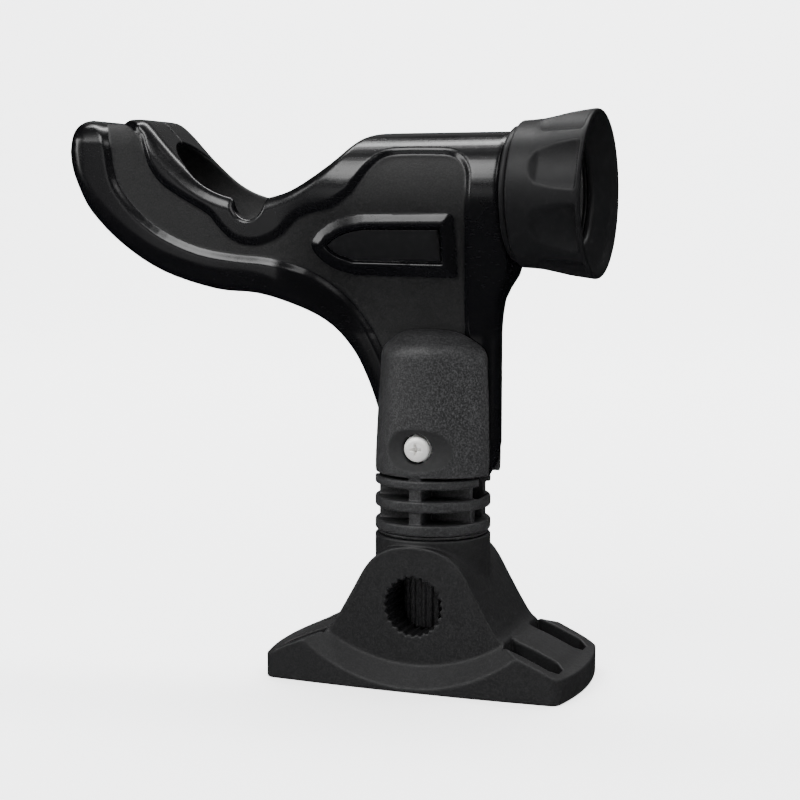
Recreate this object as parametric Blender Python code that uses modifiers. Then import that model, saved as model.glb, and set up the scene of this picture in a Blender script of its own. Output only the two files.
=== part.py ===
"""Adjustable rod holder on a toothed deck mount.

Metres, +Z up. The origin is the middle of the foot's underside, on the swivel axis. The rod lies
along X, with its butt at +X and its tip beyond the ring nose at -X.
"""

import math

import bmesh
import bpy
from mathutils import Matrix, Vector

MM = 0.001
GAP = 0.3 * MM

# Swivel axis: X = 0, Y = 0. Tilt axis: along Y through (0, 0, PIVOT_Z). Rod axis: along X at ROD_Z.
PIVOT_Z = 95.5 * MM
ROD_Z = 195.5 * MM

# Base
FOOT_HALF_LENGTH = 60.5 * MM
FOOT_END_BULGE = 5.0 * MM
FOOT_HALF_DEPTH = 33.0 * MM
FOOT_SIDE_BOW = 2.0 * MM
FOOT_CORNER = 3.0 * MM
SADDLE_HALF_DEPTH = 24.45 * MM
COVE_Z = 77.0 * MM
COVE_R_AT_FACE = 67.7 * MM
COVE_R_AT_EDGE = 75.6 * MM
NECK_R = 23.5 * MM
NECK_TOP = 59.1 * MM
SOCKET_Z = 32.8 * MM
SOCKET_FLOOR = 19.0 * MM
TEETH = 24
SOCKET_TEETH = (12.2 * MM, 11.2 * MM)
STUB_TEETH = (11.85 * MM, 10.85 * MM)
EAR_POCKET_FLOOR = 5.0 * MM

# Post
RING_Z = (59.4 * MM, 60.6 * MM)
POST_BOTTOM = 60.9 * MM
STUB_BOTTOM = 21.0 * MM
FINS_Z = ((60.9 * MM, 65.3 * MM), (70.4 * MM, 74.8 * MM), (79.6 * MM, 83.1 * MM))
SLEEVE_BOTTOM = 84.2 * MM
SLOT_HALF = 7.3 * MM
SLOT_FLOOR_R = 29.7 * MM
SLEEVE_STRETCH = 1.19
SLEEVE_STRETCH_RISE = 2.4
O_RING_Z = 50.0 * MM

# Pivot
SCREW_R = 3.0 * MM
SCREW_HOLE_R = 3.3 * MM
FRONT_SEAT = 17.0 * MM
REAR_SEAT = 14.0 * MM
NUT_FLATS = 10.0 * MM

# Holder
WEB_HALF = 7.0 * MM
BODY_REAR = 34.5 * MM
PARTING_GAP = 0.15 * MM
DISC_R = 11.7 * MM
DISC_THICKNESS = 1.3 * MM
BUSHING_R = 4.8 * MM
TUBE_BORE_R = 19.0 * MM
TUBE_R = 21.0 * MM
TUBE_FRONT = 16.5 * MM
RIB_R = 22.4 * MM
RIB_X = (28.0 * MM, 31.0 * MM)
FLANGE_R = 26.6 * MM
FLANGE_REAR = 37.3 * MM
BORE_BEND = -22.0 * MM
NOSE_BORE_R = 17.5 * MM
NOSE_BORE_Z = 200.0 * MM
SPIGOT_R = 24.4 * MM
SPIGOT_END = 56.0 * MM
GLAND_SEAT = 48.0 * MM
BADGE_CENTRE = (-9.5 * MM, 16.5 * MM, 174.6 * MM)
BADGE_LEAN = math.radians(23.0)
BADGE_POCKET_INSET = 5.8
BADGE_POCKET_DEPTH = 2.4 * MM
BADGE_INSET = 6.2
BADGE_BOTTOM = -2.1 * MM
BADGE_TOP = -0.2 * MM
SHELL_SCREWS = ((-101.0, 174.5), (-50.0, 160.0), (19.5, 152.0), (19.0, 120.0))

# Collar
COLLAR_FRONT = 37.75 * MM
SCALLOPS = 8
SCALLOP_R = 38.0 * MM
SCALLOP_FLOOR_R = 28.6 * MM
SCALLOPS_X = (48.2 * MM, 66.1 * MM)
SCALLOP_TURN = math.radians(2)

LIBRARY = {}


def clear_scene():
    """Removes everything that the scene holds."""
    for obj in list(bpy.data.objects):
        bpy.data.objects.remove(obj)


def make_collection(name):
    """A new collection linked to the scene."""
    collection = bpy.data.collections.new(name)
    bpy.context.scene.collection.children.link(collection)
    return collection


def make_material(name, colour, roughness, metallic=0.0):
    """A Principled material, kept by name in LIBRARY."""
    material = bpy.data.materials.new(name)
    material.use_nodes = True
    shader = material.node_tree.nodes["Principled BSDF"]
    shader.inputs["Base Color"].default_value = (*colour, 1.0)
    shader.inputs["Roughness"].default_value = roughness
    shader.inputs["Metallic"].default_value = metallic
    LIBRARY[name] = material


def in_metres(points):
    """Outline points given in millimetres."""
    return [(a * MM, b * MM) for a, b in points]


def arc(centre, radius, start, end, steps):
    """Points along an arc, with angles in degrees."""
    angles = [math.radians(start + (end - start) * i / steps) for i in range(steps + 1)]
    return [(centre[0] + radius * math.cos(a), centre[1] + radius * math.sin(a)) for a in angles]


def smooth(points, steps=3):
    """A Catmull-Rom curve through open points, which keeps its two ends."""
    ends = [points[0], *points, points[-1]]
    curve = []
    for i in range(len(points) - 1):
        p0, p1, p2, p3 = (Vector(p) for p in ends[i : i + 4])
        for j in range(steps):
            t = j / steps
            bend = (2 * p0 - 5 * p1 + 4 * p2 - p3) * t * t + (3 * p1 - p0 - 3 * p2 + p3) * t**3
            curve.append(tuple(0.5 * (2 * p1 + (p2 - p0) * t + bend)))
    curve.append(tuple(points[-1]))
    return curve


def link(name, mesh):
    """An object for a mesh, with its normals made to face out."""
    shape = bmesh.new()
    shape.from_mesh(mesh)
    bmesh.ops.remove_doubles(shape, verts=shape.verts, dist=1e-6)
    bmesh.ops.recalc_face_normals(shape, faces=shape.faces)
    shape.to_mesh(mesh)
    shape.free()
    obj = bpy.data.objects.new(name, mesh)
    bpy.context.scene.collection.objects.link(obj)
    return obj


def baked(obj):
    """The object again, as a plain mesh in world space with its modifiers applied."""
    graph = bpy.context.evaluated_depsgraph_get()
    mesh = bpy.data.meshes.new_from_object(obj.evaluated_get(graph))
    mesh.transform(obj.matrix_world)
    name = obj.name
    bpy.data.objects.remove(obj)
    return link(name, mesh)


def prism(name, outline, low, high, along="Y", holes=()):
    """A flat outline extruded from low to high: (x, z) along Y, or (x, y) along Z."""
    curve = bpy.data.curves.new(name, "CURVE")
    curve.dimensions = "2D"
    curve.fill_mode = "BOTH"
    curve.extrude = (high - low) / 2
    for loop in (outline, *holes):
        spline = curve.splines.new("POLY")
        spline.points.add(len(loop) - 1)
        spline.use_cyclic_u = True
        for point, (a, b) in zip(spline.points, loop):
            point.co = (a, b, 0.0, 1.0)
    obj = bpy.data.objects.new(name, curve)
    bpy.context.scene.collection.objects.link(obj)
    middle = (low + high) / 2
    if along == "Y":
        obj.matrix_world = Matrix.Translation((0, middle, 0)) @ Matrix.Rotation(math.pi / 2, 4, "X")
    else:
        obj.matrix_world = Matrix.Translation((0, 0, middle))
    bpy.context.view_layer.update()
    return baked(obj)


def turned(name, profile, steps, axis="Z", centre=(0.0, 0.0, 0.0)):
    """A closed profile of (radius, height) turned about an axis through centre."""
    mesh = bpy.data.meshes.new(name)
    count = len(profile)
    closed_loop = all(radius > 0 for radius, _ in profile)
    edges = [(i, i + 1) for i in range(count - 1)]
    if closed_loop:
        edges.append((count - 1, 0))
    mesh.from_pydata([(radius, 0.0, height) for radius, height in profile], edges, [])
    obj = bpy.data.objects.new(name, mesh)
    bpy.context.scene.collection.objects.link(obj)
    screw = obj.modifiers.new("turn", "SCREW")
    screw.steps = steps
    screw.render_steps = steps
    screw.use_merge_vertices = True
    screw.merge_threshold = 0.00001
    spin = {
        "Z": Matrix.Identity(4),
        "X": Matrix.Rotation(math.pi / 2, 4, "Y"),
        "Y": Matrix.Rotation(-math.pi / 2, 4, "X"),
    }[axis]
    obj.matrix_world = Matrix.Translation(centre) @ spin
    bpy.context.view_layer.update()
    return baked(obj)


def cylinder(name, radius, low, high, steps, axis="Z", centre=(0.0, 0.0, 0.0)):
    """A solid cylinder between two heights along its axis."""
    profile = [(0.0, low), (radius, low), (radius, high), (0.0, high)]
    return turned(name, profile, steps, axis, centre)


def box(name, low, high):
    """A box between two corners."""
    bpy.ops.mesh.primitive_cube_add(size=1.0)
    obj = bpy.context.object
    obj.name = name
    size = [b - a for a, b in zip(low, high)]
    middle = [(a + b) / 2 for a, b in zip(low, high)]
    obj.data.transform(Matrix.LocRotScale(middle, None, size))
    return obj


def combine(target, other, operation):
    """Applies an exact Boolean to target and removes the other object."""
    name = target.name
    modifier = target.modifiers.new(operation, "BOOLEAN")
    modifier.operation = operation
    modifier.solver = "EXACT"
    modifier.object = other
    result = baked(target)
    bpy.data.objects.remove(other)
    result.name = name
    return result


def cut(target, *cutters):
    """Takes each cutter away from target."""
    for cutter in cutters:
        target = combine(target, cutter, "DIFFERENCE")
    return target


def join(target, *others):
    """Adds each solid to target."""
    for other in others:
        target = combine(target, other, "UNION")
    return target


def finish(obj, name, material, collection, joint=None, smooth_angle=32.0):
    """Names the solid, gives it its material and parent, and shades it."""
    obj.name = name
    obj.data.name = name
    obj.data.materials.clear()
    obj.data.materials.append(LIBRARY[material])
    obj.data.shade_smooth()
    obj.data.set_sharp_from_angle(angle=math.radians(smooth_angle))
    for owner in list(obj.users_collection):
        owner.objects.unlink(obj)
    collection.objects.link(obj)
    if joint:
        offset = joint.matrix_world.inverted()
        obj.data.transform(offset)
        obj.parent = joint
    return obj


def joint_empty(name, place, collection, parent=None):
    """An empty on a joint's axis, which carries the pieces that the joint moves."""
    empty = bpy.data.objects.new(name, None)
    empty.empty_display_size = 10 * MM
    collection.objects.link(empty)
    if parent:
        empty.parent = parent
        empty.location = Vector(place) - parent.matrix_world.translation
    else:
        empty.location = place
    bpy.context.view_layer.update()
    return empty


def toothed_outline(radii, centre=(0.0, 0.0)):
    """A ring of V-shaped teeth, one every 15 degrees, as an outline about centre."""
    outline = []
    for i in range(2 * TEETH):
        angle = math.pi * i / TEETH
        radius = radii[i % 2]
        outline.append((centre[0] + radius * math.cos(angle), centre[1] + radius * math.sin(angle)))
    return outline


def mirrored(half):
    """A closed outline from its right half, which runs from bottom to top."""
    return half + [(-a, b) for a, b in reversed(half) if a > 0]


def make_base(parts):
    """Saddle foot: ears on a bowed foot plate, flat domed faces, round neck and toothed sockets."""
    end_x = FOOT_HALF_LENGTH + FOOT_END_BULGE
    ear_top = in_metres([(65.6, 9.6), (60.5, 10.4), (55.0, 13.2), (46.0, 17.2), (38.5, 20.2), (34.0, 24.0)])
    ears = prism("ears", mirrored([(end_x + 2 * MM, -MM), *ear_top]), -40 * MM, 40 * MM)

    side = [(x * MM, FOOT_SIDE_BOW * (1 - (x * MM / FOOT_HALF_LENGTH) ** 2)) for x in range(50, -51, -20)]
    corner = FOOT_HALF_DEPTH - FOOT_SIDE_BOW
    right_end = [(FOOT_HALF_LENGTH - FOOT_CORNER * 0.3, corner - FOOT_CORNER * 0.1)]
    right_end += [(FOOT_HALF_LENGTH + 0.8 * MM, corner - FOOT_CORNER)]
    right_end += [(FOOT_HALF_LENGTH + FOOT_END_BULGE * 0.72, 0.52 * corner)]
    upper_right = [(end_x, 0.0), *reversed(right_end)]
    far_side = [(x, corner + bow) for x, bow in side]
    half = upper_right + far_side + [(-x, y) for x, y in reversed(upper_right[1:])]
    plan = half + [(-end_x, 0.0)] + [(-x, -y) for x, y in half[1:]]
    foot = prism("foot", plan, 0.0, 30 * MM, along="Z")
    base = combine(foot, ears, "INTERSECT")

    for side_sign in (-1, 1):
        profile = [
            (0.0, SADDLE_HALF_DEPTH),
            (COVE_R_AT_FACE, SADDLE_HALF_DEPTH),
            (COVE_R_AT_EDGE, FOOT_HALF_DEPTH + 0.3 * MM),
            (COVE_R_AT_EDGE, 45 * MM),
            (0.0, 45 * MM),
        ]
        profile = [(radius, side_sign * height) for radius, height in profile]
        base = cut(base, turned("cove", profile, 72, "Y", (0, 0, COVE_Z)))

    flank = in_metres([(36.8, 20.0), (32.0, 27.5), (28.5, 33.5), (25.0, 39.7), (21.5, 46.0), (18.0, 50.6)])
    dome = in_metres([(13.5, 54.0), (7.5, 56.3), (0.0, 57.0)])
    saddle_half = [(44 * MM, 6 * MM), (41.5 * MM, 17.0 * MM), *flank, *dome]
    saddle = prism("saddle", mirrored(saddle_half), -SADDLE_HALF_DEPTH, SADDLE_HALF_DEPTH)
    neck = cylinder("neck", NECK_R, 12 * MM, NECK_TOP, 40)
    base = join(base, saddle, neck)

    for x_sign in (-1, 1):
        for y_sign in (-1, 1):
            base = cut(base, *ear_pocket(x_sign, y_sign))
            low = (14 * MM * x_sign, 4 * MM * y_sign, -MM)
            high = (33 * MM * x_sign, 20 * MM * y_sign, 12 * MM)
            corners = [sorted(pair) for pair in zip(low, high)]
            base = cut(base, box("core", [pair[0] for pair in corners], [pair[1] for pair in corners]))

    upright = prism("upright_socket", toothed_outline(SOCKET_TEETH), SOCKET_FLOOR, 70 * MM, along="Z")
    level = prism("level_socket", toothed_outline(SOCKET_TEETH, (0.0, SOCKET_Z)), -40 * MM, 40 * MM)
    base = cut(base, upright, level)
    finish(base, "base", "moulded_matte", parts)


def ear_pocket(x_sign, y_sign):
    """The recess in one ear and the fixing slot through its floor."""
    recess = in_metres([(37.8, 12.6), (56.0, 12.6), (59.2, 16.0), (59.2, 22.0), (56.0, 25.4), (37.8, 25.4)])
    slot = arc((44 * MM, 19 * MM), 3.2 * MM, 90, 270, 6) + arc((53 * MM, 19 * MM), 3.2 * MM, -90, 90, 6)
    shapes = []
    for outline, low, high in ((recess, EAR_POCKET_FLOOR, 40 * MM), (slot, -MM, 20 * MM)):
        outline = [(x * x_sign, y * y_sign) for x, y in outline]
        shapes.append(prism("ear_cut", outline, low, high, along="Z"))
    return shapes


def make_swivel_ring(parts, joint):
    """Thin ring between the neck of the base and the post."""
    profile = [(13.5 * MM, RING_Z[0]), (22.3 * MM, RING_Z[0]), (22.3 * MM, RING_Z[1]), (13.5 * MM, RING_Z[1])]
    finish(turned("ring", profile, 32), "swivel_ring", "moulded_matte", parts, joint)


def make_post(parts, joint):
    """Post: toothed stub, cored neck with three fins, and the forked sleeve."""
    post = prism("stub", toothed_outline(STUB_TEETH), STUB_BOTTOM, POST_BOTTOM + 3 * MM, along="Z")
    for low, high in FINS_Z:
        post = join(post, cylinder("fin", NECK_R, low, high, 36))
    wall_x = 22.4 * MM
    for y_sign in (-1, 1):
        wall = sorted((6 * MM * y_sign, 10.3 * MM * y_sign))
        rib = sorted((8 * MM * y_sign, 22.6 * MM * y_sign))
        low, high = 64 * MM, 86 * MM
        post = join(post, box("wall", (-wall_x + 1.8 * MM, wall[0], low), (wall_x - 1.8 * MM, wall[1], high)))
        post = join(post, box("rib", (-3 * MM, rib[0], low), (3 * MM, rib[1], high)))
    sleeve_profile = in_metres(
        [(23.0, 84.2), (23.4, 85.4), (23.3, 92.0), (22.7, 104.0), (22.0, 116.0), (21.2, 129.0)]
        + [(20.5, 133.7), (18.2, 137.1), (14.0, 140.4), (9.0, 142.0), (0.0, 142.6)]
    )
    sleeve = turned("sleeve", [(0.0, SLEEVE_BOTTOM), *sleeve_profile], 40)
    for vertex in sleeve.data.vertices:
        if vertex.co.x > 0:
            vertex.co.x *= SLEEVE_STRETCH + SLEEVE_STRETCH_RISE * (vertex.co.z - SLEEVE_BOTTOM)
    post = join(post, sleeve)

    pivot = (0.0, 0.0, PIVOT_Z)
    post = cut(post, cylinder("slot_floor", SLOT_FLOOR_R, -SLOT_HALF, SLOT_HALF, 48, "Y", pivot))
    post = cut(post, box("slot", (-40 * MM, -SLOT_HALF, SLEEVE_BOTTOM - GAP), (40 * MM, SLOT_HALF, 150 * MM)))
    for y_sign in (-1, 1):
        eye_centre = (0.0, 31.8 * MM * y_sign, PIVOT_Z)
        post = cut(post, cylinder("eye", 12 * MM, -20 * MM, 20 * MM, 32, "X", eye_centre))
    post = cut(post, cylinder("hole", SCREW_HOLE_R, -30 * MM, 30 * MM, 24, "Y", pivot))
    post = cut(post, cylinder("seat", 6.0 * MM, -30 * MM, -FRONT_SEAT, 24, "Y", pivot))
    hexagon = arc((0.0, PIVOT_Z), (NUT_FLATS / 2 + GAP) / math.cos(math.pi / 6), 30, 330, 5)
    post = cut(post, prism("nut_seat", hexagon, REAR_SEAT, 30 * MM))
    groove = [(8.6 * MM, O_RING_Z - 1.4 * MM), (13 * MM, O_RING_Z - 1.4 * MM)]
    groove += [(13 * MM, O_RING_Z + 1.4 * MM), (8.6 * MM, O_RING_Z + 1.4 * MM)]
    post = cut(post, turned("groove", groove, 24))
    finish(post, "post_yoke", "moulded_matte", parts, joint)

    section = arc((9.8 * MM, O_RING_Z), 0.9 * MM, 0, 300, 5)
    finish(turned("o_ring", section, 24), "stub_o_ring", "rubber_black", parts, joint)


def washer(name, inner, outer, low, high, parts, joint, material="stainless", steps=24):
    """A flat ring about the tilt axis."""
    profile = [(inner, low), (outer, low), (outer, high), (inner, high)]
    ring = turned(name, profile, steps, "Y", (0.0, 0.0, PIVOT_Z))
    finish(ring, name, material, parts, joint)


def make_pivot(parts, post_joint, holder_joint):
    """Pivot screw, washers and nut on the post, and the bushing and discs on the holder."""
    pivot = (0.0, 0.0, PIVOT_Z)
    head_seat = -FRONT_SEAT - GAP - 1.0 * MM - GAP
    head = [(0.0, head_seat), (5.2 * MM, head_seat), (5.2 * MM, head_seat - 1.5 * MM)]
    head += [(4.4 * MM, head_seat - 2.6 * MM), (2.6 * MM, head_seat - 3.2 * MM), (0.0, head_seat - 3.4 * MM)]
    screw = turned("screw", head, 24, "Y", pivot)
    screw = join(screw, cylinder("shank", SCREW_R, head_seat - MM, 20.4 * MM, 16, "Y", pivot))
    front = head_seat - 4 * MM
    for half_x, half_z in ((2.3 * MM, 0.55 * MM), (0.55 * MM, 2.3 * MM)):
        low = (-half_x, front, PIVOT_Z - half_z)
        high = (half_x, front + 2.6 * MM, PIVOT_Z + half_z)
        screw = cut(screw, box("cross", low, high))
    finish(screw, "pivot_screw", "stainless", parts, post_joint)
    front_low = -FRONT_SEAT - GAP - 1.0 * MM
    washer("pivot_washer_front", SCREW_HOLE_R, 5.6 * MM, front_low, -FRONT_SEAT - GAP, parts, post_joint)
    rear_high = REAR_SEAT + GAP + 1.0 * MM
    washer("pivot_washer_rear", SCREW_HOLE_R, 4.9 * MM, REAR_SEAT + GAP, rear_high, parts, post_joint)

    hexagon = arc((0.0, PIVOT_Z), NUT_FLATS / 2 / math.cos(math.pi / 6), 30, 330, 5)
    bore = arc((0.0, PIVOT_Z), SCREW_HOLE_R, 0, 337.5, 15)
    nut = prism("nut", hexagon, rear_high + GAP, rear_high + GAP + 5.4 * MM, holes=[bore])
    finish(nut, "pivot_nut", "stainless", parts, post_joint)

    washer("pivot_bushing", SCREW_HOLE_R, BUSHING_R, -6.9 * MM, 6.9 * MM, parts, holder_joint, "nylon_white")
    for name, side_sign in (("friction_disc_front", -1), ("friction_disc_rear", 1)):
        low, high = sorted((side_sign * WEB_HALF, side_sign * (WEB_HALF - DISC_THICKNESS)))
        washer(name, BUSHING_R + GAP, DISC_R, low, high, parts, holder_joint, "rubber_black", 32)


def body_top_outline():
    """Side view of the body's top edge: ring nose, oval opening's sloping rim and tube roof."""
    nose = [(-159.8, 213.0), (-158.4, 220.0), (-155.5, 224.6), (-151.5, 226.6), (-147.4, 226.6)]
    band = [(-145.8, 225.1), (-136.4, 224.7), (-133.6, 226.4)]
    crown = [(-128.0, 227.0), (-121.5, 226.4), (-117.5, 223.2), (-112.9, 218.3), (-105.8, 211.1)]
    dip = [(-98.8, 205.0), (-91.7, 200.3), (-84.0, 196.9), (-76.0, 195.0), (-68.0, 195.0), (-61.3, 196.4)]
    rise = [(-54.7, 198.2), (-48.1, 200.9), (-41.6, 204.6), (-35.2, 209.6), (-30.5, 215.0), (-27.0, 218.6)]
    roof = [(-22.0, 220.0), (0.0, 220.0)]
    return nose + band + crown + dip + rise + roof


def section_arm(bottom, half_width, top, lower_reach, upper_reach):
    """Right half of a section of the arm: flat middle, rounded corners and upright sides."""
    flat = max(half_width - 13.0, 0.0)
    lower = [(0.0, bottom)]
    for step in range(4):
        angle = math.pi / 2 * step / 3
        width = flat + (half_width - flat) * math.sin(angle)
        lower.append((width, bottom + lower_reach * (1 - math.cos(angle))))
    upper = []
    for step in range(4):
        angle = math.pi / 2 * step / 3
        width = flat + (half_width - flat) * math.cos(angle)
        upper.append((width, top - upper_reach * (1 - math.sin(angle))))
    return [*lower, (half_width, (bottom + lower_reach + top - upper_reach) / 2), *upper, (0.0, top)]


def section_tube():
    """Right half of a section of the tube, which tapers down to the web."""
    taper = [(0.0, 143.0), (7.0, 143.0), (10.0, 160.0), (13.0, 168.0), (17.0, 175.0), (21.0, 185.0)]
    roof = [(24.0 * math.cos(a), 196.0 + 24.0 * math.sin(a)) for a in (0, 0.4, 0.8, 1.2)]
    return [*taper, *roof, (0.0, 220.0)]


def make_body_block():
    """The body before its openings: sections lofted along the rod, and the flat web below."""
    tube = section_tube()
    middle = [(0.0, 146.5), (7.5, 146.8), (13.0, 152.0), (17.5, 159.0), (20.5, 167.0), (22.3, 180.0)]
    stations = [
        (-159.6, section_arm(208.5, 10.0, 219.5, 3.0, 3.0)),
        (-157.5, section_arm(203.2, 15.5, 222.5, 6.0, 6.0)),
        (-153.0, section_arm(196.3, 19.6, 225.6, 13.0, 10.0)),
        (-146.0, section_arm(187.0, 22.2, 227.0, 18.5, 12.0)),
        (-132.4, section_arm(174.4, 22.6, 227.2, 18.0, 13.0)),
        (-113.6, section_arm(163.4, 22.6, 227.2, 16.0, 13.0)),
        (-90.0, section_arm(156.9, 22.6, 227.2, 13.0, 13.0)),
        (-70.0, section_arm(155.2, 22.6, 227.2, 13.0, 13.0)),
        (-45.0, middle + tube[6:]),
        (-16.0, tube),
        (34.5, tube),
    ]
    shape = bmesh.new()
    rings = []
    for x, half in stations:
        loop = half + [(-y, z) for y, z in reversed(half[1:-1])]
        rings.append([shape.verts.new((x * MM, y * MM, z * MM)) for y, z in loop])
    for left, right in zip(rings, rings[1:]):
        for i in range(len(left)):
            j = (i + 1) % len(left)
            shape.faces.new((left[i], left[j], right[j], right[i]))
    shape.faces.new(rings[0])
    shape.faces.new(rings[-1])
    mesh = bpy.data.meshes.new("body")
    shape.to_mesh(mesh)
    shape.free()
    body = link("body", mesh)

    front_edge = smooth([(-43.5, 144.4), (-34.0, 133.0), (-27.2, 120.0), (-22.8, 108.0)], 3)
    lobe = arc((0.0, 95.5), 22.0, 160, 262, 8)
    heel = [(18.0, 81.6), (24.0, 83.5), (27.2, 89.0), (28.6, 97.0), (28.6, 150.0)]
    web = in_metres([*front_edge, *lobe, *heel, (28.0, 170.0), (-60.0, 170.0)])
    return join(body, prism("web", web, -WEB_HALF, WEB_HALF))


def badge_frame(y_sign):
    """Matrix of one badge: local X along the rod, local Y up the sloping flank, local Z outward."""
    x, y, z = BADGE_CENTRE
    up = Vector((0.0, y_sign * math.sin(BADGE_LEAN), math.cos(BADGE_LEAN)))
    out = Vector((0.0, y_sign * math.cos(BADGE_LEAN), -math.sin(BADGE_LEAN)))
    along = up.cross(out)
    frame = Matrix((along, up, out)).transposed().to_4x4()
    return Matrix.Translation((x, y * y_sign, z)) @ frame


def badge_outline(inset, y_sign):
    """Rounded left tip and square right end. The near and far sides mirror each other."""
    tip = [(-20.5, -12.7 + inset), (-29.5 + 0.7 * inset, -9.6 + 0.6 * inset), (-36.5 + inset, 1.0)]
    top = [(-26.5 + 0.4 * inset, 11.5 - 0.9 * inset), (-12.5, 15.0 - inset), (22.7 - inset, 15.2 - inset)]
    end = [(25.1 - inset, 13.0 - inset), (23.7 - inset, -11.3 + inset), (21.0 - inset, -13.4 + inset)]
    return [(x * MM * -y_sign, y * MM) for x, y in tip + top + end]


def badge_block(name, inset, low, high, y_sign):
    """A solid on the badge's own outline, standing on the flank."""
    block = prism(name, badge_outline(inset, y_sign), low, high, along="Z")
    block.data.transform(badge_frame(y_sign))
    return block


def open_body(body):
    """Cuts the opening, bore, notches, tube seat, badge pockets and pivot hole."""
    top = body_top_outline()
    above = in_metres([*top, (36.0, 220.0), (36.0, 240.0), (-175.0, 240.0), (-175.0, 213.0)])
    body = cut(body, prism("above", above, -40 * MM, 40 * MM))
    behind = [(28.6, 130.0), (28.9, 154.0), (33.4, 163.6), (34.6, 169.0), (45.0, 169.0), (45.0, 130.0)]
    behind = in_metres(behind)
    body = cut(body, prism("behind", behind, -40 * MM, 40 * MM))

    start = Vector((BORE_BEND, 0.0, ROD_Z))
    end = Vector((-172 * MM, 0.0, NOSE_BORE_Z))
    run = end - start
    profile = [(0.0, 0.0), (TUBE_BORE_R, 0.0), (NOSE_BORE_R, run.length), (0.0, run.length)]
    bore = turned("bore", profile, 40)
    turn = run.to_track_quat("Z", "Y").to_matrix().to_4x4()
    bore.data.transform(Matrix.Translation(start) @ turn)
    level_bore = cylinder("level_bore", TUBE_BORE_R, BORE_BEND - MM, BODY_REAR, 40, "X", (0.0, 0.0, ROD_Z))
    body = cut(body, bore, level_bore)

    notch = arc((-72 * MM, 192.2 * MM), 6.5 * MM, 180, 360, 10)
    notch += in_metres([(-63.5, 197.0), (-63.0, 215.0), (-81.0, 215.0), (-80.5, 197.0)])
    body = cut(body, prism("notch", notch, -40 * MM, 40 * MM))

    rod_axis = (0.0, 0.0, ROD_Z)
    seat = cylinder("seat", TUBE_R + GAP, TUBE_FRONT - GAP, 40 * MM, 40, "X", rod_axis)
    rib = cylinder("rib", RIB_R + GAP, RIB_X[0] - GAP, RIB_X[1] + GAP, 40, "X", rod_axis)
    body = cut(body, seat, rib)

    for y_sign in (-1, 1):
        body = cut(body, badge_block("pocket", BADGE_POCKET_INSET, -BADGE_POCKET_DEPTH, 20 * MM, y_sign))
    pivot = (0.0, 0.0, PIVOT_Z)
    body = cut(body, cylinder("hole", BUSHING_R + GAP, -30 * MM, 30 * MM, 24, "Y", pivot))
    for y_sign in (-1, 1):
        low, high = sorted((y_sign * 20 * MM, y_sign * (WEB_HALF - DISC_THICKNESS - GAP)))
        body = cut(body, cylinder("disc_seat", DISC_R + GAP, low, high, 32, "Y", pivot))
    return body


def shell_half(body, y_sign, name, parts, joint):
    """One shell: the body on one side of the parting plane, cored from inside."""
    other_side = sorted((-y_sign * 60 * MM, y_sign * PARTING_GAP))
    shell = body.copy()
    shell.data = body.data.copy()
    bpy.context.scene.collection.objects.link(shell)
    away = box("away", (-200 * MM, other_side[0], 0.0), (80 * MM, other_side[1], 260 * MM))
    shell = cut(shell, away)
    cores = (
        ([(-93.0, 163.0), (-60.0, 161.5), (-60.0, 173.5), (-93.0, 175.0)], 15.0),
        ([(-40.0, 149.0), (-30.0, 140.0), (-16.0, 122.0), (14.0, 122.0), (14.0, 160.0), (-40.0, 164.0)], 4.0),
    )
    for outline, depth in cores:
        low, high = sorted((-y_sign * MM, y_sign * depth * MM))
        shell = cut(shell, prism("core", in_metres(outline), low, high))
    for x, z in SHELL_SCREWS:
        centre = (x * MM, 0.0, z * MM)
        half = flank_half_width(x, z) * MM
        if y_sign > 0:
            shell = cut(shell, cylinder("shank_hole", 2.1 * MM, -MM, 40 * MM, 12, "Y", centre))
            seat = half - 3.0 * MM
            shell = cut(shell, cylinder("head_seat", 4.0 * MM, seat, 40 * MM, 16, "Y", centre))
        else:
            depth = min(half - 2.0 * MM, 12 * MM)
            shell = cut(shell, cylinder("pilot", 1.9 * MM, -depth, MM, 12, "Y", centre))
    finish(shell, name, "gloss_black", parts, joint)


def flank_half_width(x, z):
    """Half-thickness of the body at a shell screw, in millimetres."""
    if z < 143.0:
        return 7.0
    if x > -20.0:
        return 7.0 + (z - 143.0) * 3.0 / 17.0
    return 22.6 if x < -60.0 else 17.5


def make_shell_screws(parts, joint):
    """Pan-head screws driven from the rear shell into the front one."""
    for number, (x, z) in enumerate(SHELL_SCREWS, start=1):
        half = flank_half_width(x, z) * MM
        seat = half - 3.0 * MM + GAP
        tip = -min(half - 2.0 * MM, 12 * MM) + GAP
        profile = [(0.0, tip), (1.55 * MM, tip), (1.55 * MM, seat), (3.6 * MM, seat)]
        profile += [(3.6 * MM, seat + 1.2 * MM), (2.4 * MM, seat + 2.0 * MM), (0.0, seat + 2.2 * MM)]
        screw = turned("shell_screw", profile, 12, "Y", (x * MM, 0.0, z * MM))
        finish(screw, f"shell_screw_{number}", "stainless", parts, joint)


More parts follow.
